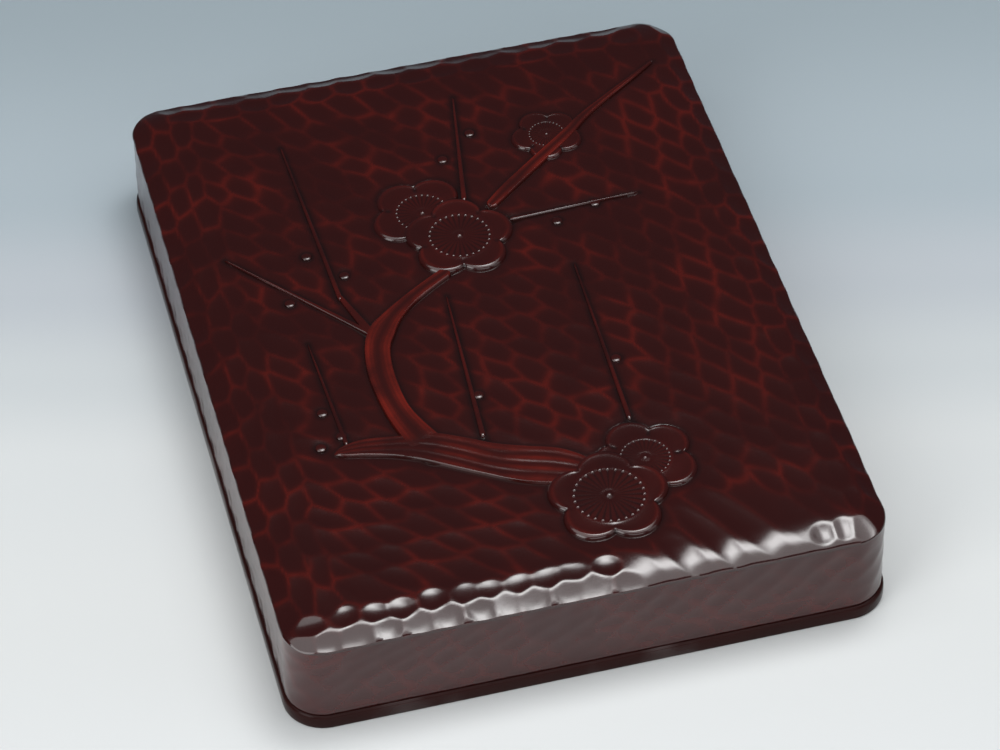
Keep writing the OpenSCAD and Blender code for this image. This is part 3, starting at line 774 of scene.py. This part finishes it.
# The carved surface, closed by a chamfer, a lip and a flat underside
def carvedTop():
    across, along = (int(2 * lid[k] / lid["gridStep"]) for k in ("halfWidth", "halfLength"))
    bm = layGrid(across, along, layTop)
    verts, edges = extrudeEdges(bm, [e for e in bm.edges if e.is_boundary])
    for vert in verts:
        qx, qy, out = outFromField(np.array([vert.co.x / mm]), np.array([vert.co.y / mm]))
        step = lid["chamfer"] * mm / float(out[0])
        vert.co += Vector((float(qx[0]) * step, float(qy[0]) * step, -lid["chamferDrop"] * mm))
    verts, edges = extrudeEdges(bm, edges)
    for vert in verts:
        vert.co.z = lid["lip"] * mm
    verts, edges = extrudeEdges(bm, edges)
    shareX, shareY = lid["ceilingShare"]
    for vert in verts:
        vert.co = (vert.co.x * shareX, vert.co.y * shareY, lid["ceiling"] * mm)
    bmesh.ops.contextual_create(bm, geom=edges)
    bmesh.ops.recalc_face_normals(bm, faces=bm.faces)
    finishPiece(bm, "carvedTop", "lid", carvedFinish, ("lid_top_board",), lid["sharpAngle"])


# The lid's walls: marks on the outer face, and the plain inner face as [inset, height]
sides = {
    "stations": 1000,
    "outerRows": 30,
    "outerInset": 0.06,
    "top": 34.6,
    "bottom": 6.0,
    "inner": [(0.30, 5.45), (0.75, 5.2), (5.8, 5.2), (6.35, 5.5), (6.5, 6.5), (6.5, 14), (6.5, 22),
              (6.5, 30.4)],
    "length": 11.5,
    "pitch": 6.2,
    "rows": 7,
    "rowStep": 5.2,
    "turn": 34,
    "tilt": 9,
    "depth": 0.20,
    "softness": 40.0,
    "seed": 11,
}


def wallCuts(total):
    rng = random.Random(sides["seed"])
    cuts = []
    for row in range(sides["rows"]):
        spot = (row % 2) * sides["length"] / 2
        while spot < total:
            cuts.append((spot + rng.uniform(-1.2, 1.2),
                         lid["foot"] + 1 + row * sides["rowStep"] + rng.uniform(-0.7, 0.7),
                         sides["turn"] + rng.uniform(-sides["tilt"], sides["tilt"]),
                         0.56 * sides["length"], 0.56 * sides["pitch"],
                         sides["depth"] * rng.uniform(0.7, 1.2)))
            spot += sides["length"] * rng.uniform(0.9, 1.1)
    return np.array(cuts)


def layWall(s, t):
    x, y, nx, ny, total = outlineSpot(s)
    rows = sides["outerRows"]
    fall = sides["top"] - sides["bottom"]
    outer = [(sides["outerInset"], sides["top"] - fall * k / (rows - 1)) for k in range(rows)]
    profile = np.array(outer + sides["inner"] + outer[:1])
    j = np.rint(t * (len(profile) - 1)).astype(int)
    inset, z = profile[j, 0].copy(), profile[j, 1]
    softness = np.full(len(z), sides["softness"])
    height, nearness = cutSurface(wallCuts(total), (s % 1.0) * total, z, softness)
    onOuter = (j < rows) | (j == len(profile) - 1)
    fade = smoothStep((z - 5.4) / 1.5)
    edge = edgeInset(x, y) - lid["chamfer"]
    inset += np.where(onOuter, edge * smoothStep((z - 14) / 18) - np.minimum(height, 0.02) * fade, 0)
    wearAndShade = np.where(onOuter, 0.15 + 0.6 * bell(nearness, 0.7) * fade, 0.1)
    return x - nx * inset, y - ny * inset, z, wearAndShade


def carvedWalls():
    bm = layGrid(sides["stations"], sides["outerRows"] + len(sides["inner"]), layWall)
    closeUp(bm)
    walls = ("lid_front_wall", "lid_back_wall", "lid_left_wall", "lid_right_wall")
    finishPiece(bm, "carvedWalls", "lid", wallFinish, walls)


carvedTop()
carvedWalls()
print("carved lid ready")


# Relief on the lid: limbs, shoots, blossoms and buds

relief = {
    "sunk": 2.4,
    "rowStep": 0.9,
    "bevel": 0.6,
    "channelSpan": 0.80,
    "channelDepth": 0.20,
    "fineLines": 21,
    "fineDepth": 0.05,
    "fullWidth": 7.5,
    "around": 280,
    "rings": 44,
    "petalDip": 0.17,
    "petalRim": 0.07,
    "petalRimAt": 0.90,
    "petalFall": 0.7,
    "cleft": 0.18,
    "stamenRing": 0.055,
    "discDepth": 0.10,
    "heartDepth": 0.15,
    "filaments": 28,
    "filamentDepth": 0.05,
    "blossomSharpAngle": 75,
    "stamenAt": 0.94,
    "stamenSquash": 0.45,
    "stamenLean": 10,
    "beadWear": 0.25,
    "beadSharpAngle": 80,
    "limbColumns": 26,
    "gougedLimbColumns": 40,
    "limbWearLow": 0.08,
    "shootColumns": 12,
    "shootRelief": 0.45,
    "shootWear": (0.20, 0.85),
}


# Closed bar along a line: its top is channelled, its underside lies sunk in the lid. Across it, columns
# run over the top and the last three steps go round below
def barPiece(name, line, height, channels, columns, wearLow, wearHigh, material, rise=0):
    length = np.hypot(*np.diff(line[:, :2], axis=0).T).sum()
    rows = max(12, int(length / relief["rowStep"]))
    line = smoothLine(line, rows + 1)
    way = np.gradient(line[:, :2], axis=0)
    way /= np.linalg.norm(way, axis=1)[:, None]

    def lay(s, t):
        i = np.rint(s * rows).astype(int)
        j = np.rint(t * (columns + 3)).astype(int)
        under = (j == columns + 1) | (j == columns + 2)
        j = np.where(j == columns + 3, 0, j)
        c = np.where(j == columns + 2, -0.9, np.clip(j / columns, 0, 1) * 2 - 1)
        c = np.where(j == columns + 1, 0.9, c)
        ends = np.minimum(i, rows - i)
        half = line[i, 2] * np.where(ends == 0, 0.0, np.where(ends == 1, 0.75, 1.0))
        x = line[i, 0] - way[i, 1] * c * half
        y = line[i, 1] + way[i, 0] * c * half
        wobble = 0.07 * np.sin(i * 0.13) + 0.03 * np.sin(i * 0.31 + 1)
        span = relief["channelSpan"]
        inner = np.clip(np.abs(c) / span, 0, 1)
        crest = 0.5 - 0.5 * np.cos(2 * math.pi * channels * np.clip((c + wobble) / (2 * span) + 0.5, 0, 1))
        fine = 0.5 + 0.5 * np.sin(relief["fineLines"] * c + 0.35 * np.sin(i * 0.11))
        bevel = relief["bevel"] / np.maximum(half, relief["bevel"])
        slope = 1 - smoothStep((np.abs(c) - 1 + bevel) / bevel)
        scale = np.minimum(1, half / relief["fullWidth"]) ** 2
        lift = smoothStep(i / rise) if rise else 1.0
        channel = relief["channelDepth"] * scale * crest * (1 - inner ** 6)
        top = height * (0.25 + 0.75 * slope) * lift - channel
        top = np.where(np.abs(c) > 0.99, -1.0, top - relief["fineDepth"] * fine * scale)
        top = np.where(ends == 0, np.minimum(top, -0.2), top)
        z = lidHeight(x, y) + np.where(under, -relief["sunk"], top)
        wearAndShade = wearLow + (wearHigh - wearLow) * (1 - crest) * (0.6 + 0.4 * fine) * slope
        return x, y, z, wearAndShade

    bm = layGrid(rows, columns + 3, lay)
    closeUp(bm)
    finishPiece(bm, name, "lid", material)


# From the edge inwards: petals with a rim and clefts between them, a ring, and a sunk disc of filaments
def blossomPiece(name, spec):
    rings = relief["rings"]
    cx, cy = spec["at"]

    def lay(s, t):
        angle = 2 * math.pi * s
        edge, off = petalEdge(angle, spec)
        j = np.rint(t * (rings + 2)).astype(int)
        share = np.clip((j - 2) / rings, 0, 1)
        r = edge * (1 - share)
        r = np.where(j == 0, 0.0, np.where(j == 1, edge * 0.97, r))
        q, p = r / edge, r / spec["ring"]
        span = relief["petalRimAt"] * edge - spec["ring"]
        petal = -relief["petalDip"] * np.sin(math.pi * np.clip((r - spec["ring"]) / span, 0, 1))
        rim = relief["petalRim"] * bell(q - relief["petalRimAt"], 0.035)
        fall = -relief["petalFall"] * smoothStep((q - 0.915) / 0.085)
        apart = r * np.sin(math.radians(36) - np.abs(off))
        cleft = bell(apart, 0.7) * smoothStep((p - 1.05) / 0.2)
        ring = relief["stamenRing"] * bell(r - spec["ring"], 0.45)
        spokes = (0.5 + 0.5 * np.cos(relief["filaments"] * angle)) ** 4
        disc = smoothStep((0.97 - p) / 0.06)
        filament = -disc * (relief["filamentDepth"] * spokes * p + relief["discDepth"])
        heart = -relief["heartDepth"] * bell(r - 1.9, 0.7)
        top = spec["relief"] + petal + rim + fall - relief["cleft"] * cleft + ring + filament + heart
        top = np.where(j == 2, -1.2, top)
        x, y = cx + r * np.cos(angle), cy + r * np.sin(angle)
        # Painted shade: darker in the clefts between the petals and in the filament grooves; red wear on the
        # petal rims and the ring
        wearAndShade = 0.22 + 8 * rim - 0.7 * cleft + disc * (0.1 - 0.7 * spokes) + 4 * ring
        return x, y, lidHeight(x, y) + np.where(j < 2, -relief["sunk"], top), wearAndShade

    bm = layGrid(relief["around"], rings + 2, lay)
    closeUp(bm)
    finishPiece(bm, name, "lid", carvedFinish, (), relief["blossomSharpAngle"])


# Flattened balls in one piece, from spots of [x, y, z, radius]
def beadPiece(name, spots, squash, lean, steps=(10, 6)):
    bm = bmesh.new()
    for x, y, z, radius in spots:
        place = (Matrix.Translation((x * mm, y * mm, z * mm)) @ Matrix.Rotation(math.radians(lean), 4, "X")
                 @ Matrix.Diagonal((1, 1, squash, 1)))
        bmesh.ops.create_uvsphere(bm, u_segments=steps[0], v_segments=steps[1], radius=radius * mm,
                                  matrix=place)
    layer = bm.verts.layers.float.new("wearAndShade")
    for vert in bm.verts:
        vert[layer] = relief["beadWear"]
    finishPiece(bm, name, "lid", carvedFinish, (), relief["beadSharpAngle"])


def heightAt(x, y):
    return float(lidHeight(np.array([x]), np.array([y]))[0])


def reliefPieces():
    for name, spec in limbs.items():
        columns = relief["gougedLimbColumns" if spec["channels"] > 1 else "limbColumns"]
        barPiece(name, np.array(spec["line"]), spec["relief"], spec["channels"], columns,
                 relief["limbWearLow"], spec["wearAndShade"], limbFinish, spec["rise"])
    for name, ((x0, y0), (x1, y1), half0, half1) in shoots.items():
        line = np.array([[x0 + (x1 - x0) * f, y0 + (y1 - y0) * f, half0 + (half1 - half0) * f]
                         for f in np.linspace(0, 1, 6)])
        barPiece(name, line, relief["shootRelief"], 0, relief["shootColumns"], *relief["shootWear"],
                 carvedFinish)
    for name, spec in blossoms.items():
        blossomPiece(name + "Blossom", spec)
        cx, cy = spec["at"]
        count = relief["filaments"]
        step = 2 * math.pi / count
        ringAt, top = relief["stamenAt"] * spec["ring"], heightAt(cx, cy) + spec["relief"]
        spots = [(cx + ringAt * math.cos(k * step), cy + ringAt * math.sin(k * step), top - 0.04,
                  0.06 * spec["ring"] + 0.03) for k in range(count)]
        spots.append((cx, cy, top - 0.12, 0.10 * spec["ring"]))
        beadPiece(name + "Stamens", spots, relief["stamenSquash"], relief["stamenLean"])
    spots = [(x, y, heightAt(x, y) - buds["sunk"], buds["radius"]) for x, y in buds["spots"]]
    beadPiece("buds", spots, buds["squash"], buds["lean"], buds["steps"])


reliefPieces()
print("relief ready")


# The base: rim, walls and compartments

# The rim's outline, from the underside out and up, as [inset, height]
rim = {
    "stations": 520,
    "wave": 0.10,
    "waves": 7,
    "underside": 0.82,
    "top": 5.2,
    "profile": [(7.4, 0.82), (7.2, 0.0), (-0.35, 0.0), (-0.70, 0.25), (-0.80, 0.8), (-0.80, 2.2),
                (-0.80, 3.7), (-0.70, 4.35), (-0.45, 4.85), (-0.05, 5.12), (0.6, 5.2)],
}


def layRim(s, t):
    x, y, nx, ny, _ = outlineSpot(s)
    profile = np.array([(0.0, rim["underside"])] + rim["profile"] + [(0.0, rim["top"])])
    last = len(profile) - 1
    j = np.rint(t * last).astype(int)
    middle = (j == 0) | (j == last)
    wave = rim["wave"] * np.sin(2 * math.pi * rim["waves"] * s) * (profile[j, 1] > 3)
    inset, z = profile[j, 0] + np.maximum(wave, 0), profile[j, 1]
    outside = np.where((profile[j, 0] < 0.3) & ~middle, 1.0, 0.0)
    return np.where(middle, 0, x - nx * inset), np.where(middle, 0, y - ny * inset), z, outside


# Widths of the softened edges
softEdges = {
    "wall": 0.45,
    "fitting": 0.4,
    "board": 0.3,
    "tray": 0.35,
    "stone": 0.8,
    "copper": 0.2,
    "ink": 0.4,
}


def basePieces():
    bm = layGrid(rim["stations"], len(rim["profile"]) + 1, layRim)
    closeUp(bm)
    finishPiece(bm, "rimBoard", "base", rimFinish, ("base_board",))
    black = finishes["blackLacquer"]
    for node in ("base_front_wall", "base_back_wall", "base_left_wall", "base_right_wall"):
        softened(node, "base", black, softEdges["wall"])
    for node in ("partition", "left_ledge", "right_ledge"):
        softened(node, "base", black, softEdges["fitting"])
    softened("inkstone_board", "stone_board", black, softEdges["board"])
    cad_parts["base_pegs"].material_slots[0].material = finishes["bambooPeg"]


basePieces()
print("base ready")


# What lies in the box

def traysAndStones():
    for part in ("floor", "left_side", "right_side", "front_end", "back_end", "front_rest", "back_rest"):
        softened("tray_" + part, "brush_tray", finishes["blackLacquer"], softEdges["tray"])
    softened("inkstone", "stone", stoneFinish, softEdges["stone"], 3)
    for node in ("dropper_shell", "dropper_top", "dropper_spout"):
        softened(node, "dropper", finishes["agedCopper"], softEdges["copper"])
    softened("ink_stick", "ink", finishes["pressedInk"], softEdges["ink"])


# Handle radius r from its front end to brushBack, length of the tuft, and the cap from mouth to end
brushes = {
    "large_brush": {"x": 46.2, "r": 3.8, "front": -27.3, "tuft": 30.0,
                    "cap": "large_cap", "capMouth": -12.3, "capR": 5.6, "capEnd": -61.3},
    "small_brush": {"x": 58.7, "r": 3.0, "front": -21.3, "tuft": 24.0,
                    "cap": "small_cap", "capMouth": -6.3, "capR": 4.6, "capEnd": -49.3},
}
brushBack = 100.7
brushZ = 18.6
tailLength = 9.0


def handleProfile(r, front):
    profile = [(0, brushBack), (r - 0.4, brushBack), (r, brushBack - 0.4)]
    for knot in (brushBack - 38, brushBack - 76):
        profile += [(r, knot + 3), (r + 0.06, knot + 1.2), (r + 0.14, knot + 0.5), (r - 0.12, knot),
                    (r + 0.12, knot - 0.5), (r + 0.04, knot - 1.2), (r, knot - 3)]
    return profile + [(r, front + 0.3), (r - 0.3, front), (r - 0.8, front), (r - 0.8, front + 5),
                      (0, front + 5)]


def tuftProfile(r, front, length):
    root = r - 0.85
    shape = [(1.0, -5), (1.0, 0), (1.08, 0.15 * length), (1.10, 0.28 * length), (1.03, 0.45 * length),
             (0.72, 0.65 * length), (0.36, 0.84 * length), (0.12, 0.96 * length)]
    return [(0, front + 5)] + [(root * f, front - d) for f, d in shape] + [(0, front - length)]


def tailProfile(r):
    shape = [(0.97, 0), (1.03, 0.7), (1.07, 1.5), (1.05, 2.3), (0.97, 3.1), (0.84, 4.0), (0.69, 5.0),
             (0.55, 5.9), (0.43, 6.8), (0.35, 7.6), (0.30, 8.4), (0.27, 8.8), (0.20, tailLength)]
    return [(0, brushBack)] + [(r * f, brushBack + d) for f, d in shape] + [(0, brushBack + tailLength)]


def capProfile(r, outer, mouth, end):
    inner = end + 2.0
    return [(0, inner), (r + 0.2, inner), (r + 0.2, mouth), (outer - 0.5, mouth), (outer, mouth - 0.5),
            (outer, mouth - 9.5), (outer - 0.12, mouth - 10), (outer, mouth - 10.5), (outer, end + 1.2),
            (outer - 0.35, end + 0.35), (outer - 1.2, end), (0, end)]


def brushPieces():
    for name, b in brushes.items():
        r = b["r"]
        cap = capProfile(r, b["capR"], b["capMouth"], b["capEnd"])
        pieces = [("handle", handleProfile(r, b["front"]), name, "bamboo", "bambooHandle"),
                  ("tuft", tuftProfile(r, b["front"], b["tuft"]), name, "hair", "brushHair"),
                  ("tail", tailProfile(r), name, "dark_horn", "darkHorn"),
                  ("cap", cap, b["cap"], "bamboo_cap", "bambooCap")]
        for part, profile, body, slot, finish in pieces:
            turnedPiece(name + part.capitalize(), b["x"], brushZ, profile, body, finishes[finish],
                        (name + "_" + part,))


traysAndStones()
brushPieces()
print("contents ready")
